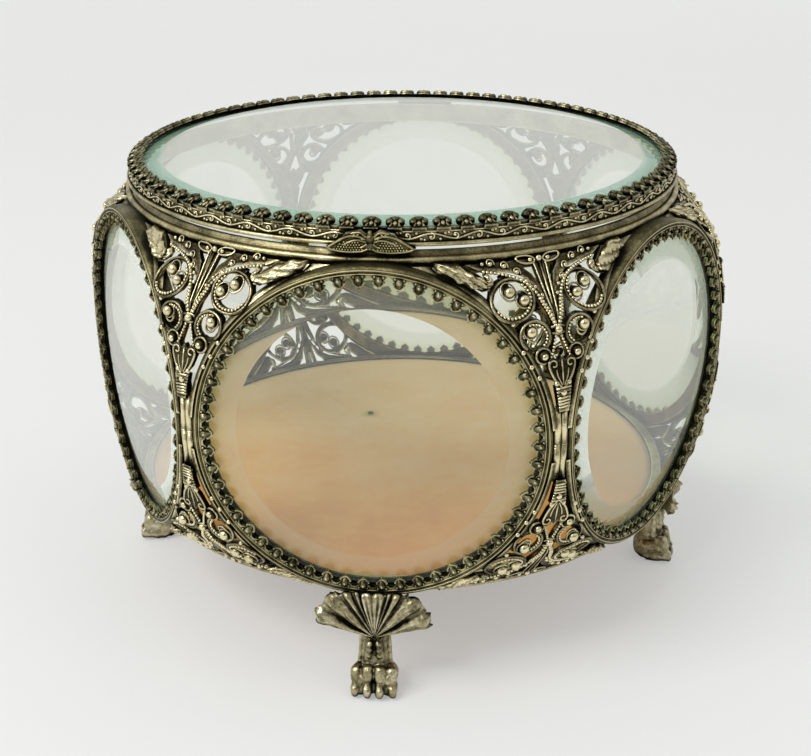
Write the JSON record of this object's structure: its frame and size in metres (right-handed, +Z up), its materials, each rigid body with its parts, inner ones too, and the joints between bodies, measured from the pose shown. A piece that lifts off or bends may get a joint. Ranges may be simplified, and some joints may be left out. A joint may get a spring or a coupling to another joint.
{
  "type": "glass casket box",
  "caption": "Footed jewellery casket with round bevelled glass windows in toothed brass bezels, pierced filigree corners and a hinged round glass lid.",
  "frame": {"origin": "on the table surface, under the middle of the box", "axes": "+Z up, -Y out of the front window with the bow on the lid, +X to the viewer's right, hinge at +Y"},
  "size_m": [0.1724, 0.157, 0.1194],
  "materials": {
    "silvered_brass": "aged, satin",
    "cast_brass": "aged, polished high spots",
    "dark_brass": "dark patina",
    "floor_brass": "satin",
    "bevelled_glass": "polished",
    "floor_lining": "matt"
  },
  "bodies": {
    "casket": {"bezel_front": "silvered_brass", "bezel_front_right": "silvered_brass", "bezel_back_right": "silvered_brass", "bezel_back": "silvered_brass", "bezel_back_left": "silvered_brass", "bezel_front_left": "silvered_brass", "gallery_front": "dark_brass", "gallery_front_right": "dark_brass", "gallery_back_right": "dark_brass", "gallery_back": "dark_brass", "gallery_back_left": "dark_brass", "gallery_front_left": "dark_brass", "glass_front": "bevelled_glass", "glass_front_right": "bevelled_glass", "glass_back_right": "bevelled_glass", "glass_back": "bevelled_glass", "glass_back_left": "bevelled_glass", "glass_front_left": "bevelled_glass", "upper_filigree_1": "silvered_brass", "upper_filigree_2": "silvered_brass", "upper_filigree_3": "silvered_brass", "upper_filigree_4": "silvered_brass", "upper_filigree_5": "silvered_brass", "upper_filigree_6": "silvered_brass", "lower_filigree_1": "silvered_brass", "lower_filigree_2": "silvered_brass", "lower_filigree_3": "silvered_brass", "lower_filigree_4": "silvered_brass", "lower_filigree_5": "silvered_brass", "lower_filigree_6": "silvered_brass", "top_rim": "silvered_brass", "bottom_rim": "silvered_brass", "floor_plate": "floor_brass", "floor_lining": "floor_lining", "floor_rivet": "floor_brass", "foot_front": "cast_brass", "foot_right": "cast_brass", "foot_back": "cast_brass", "foot_left": "cast_brass", "hinge_body_leaf": "silvered_brass", "hinge_pin": "silvered_brass"},
    "lid": {"hinge_lid_leaf": "silvered_brass", "lid_band": "silvered_brass", "lid_gallery": "dark_brass", "lid_glass": "bevelled_glass", "lid_bow": "silvered_brass"}
  },
  "joints": [
    {"name": "lid_hinge", "type": "hinge", "parent": "casket", "child": "lid", "pos_m": [0, 0.0741, 0.11305], "axis": [-1, 0, 0], "range_deg": [0, 105]}
  ]
}
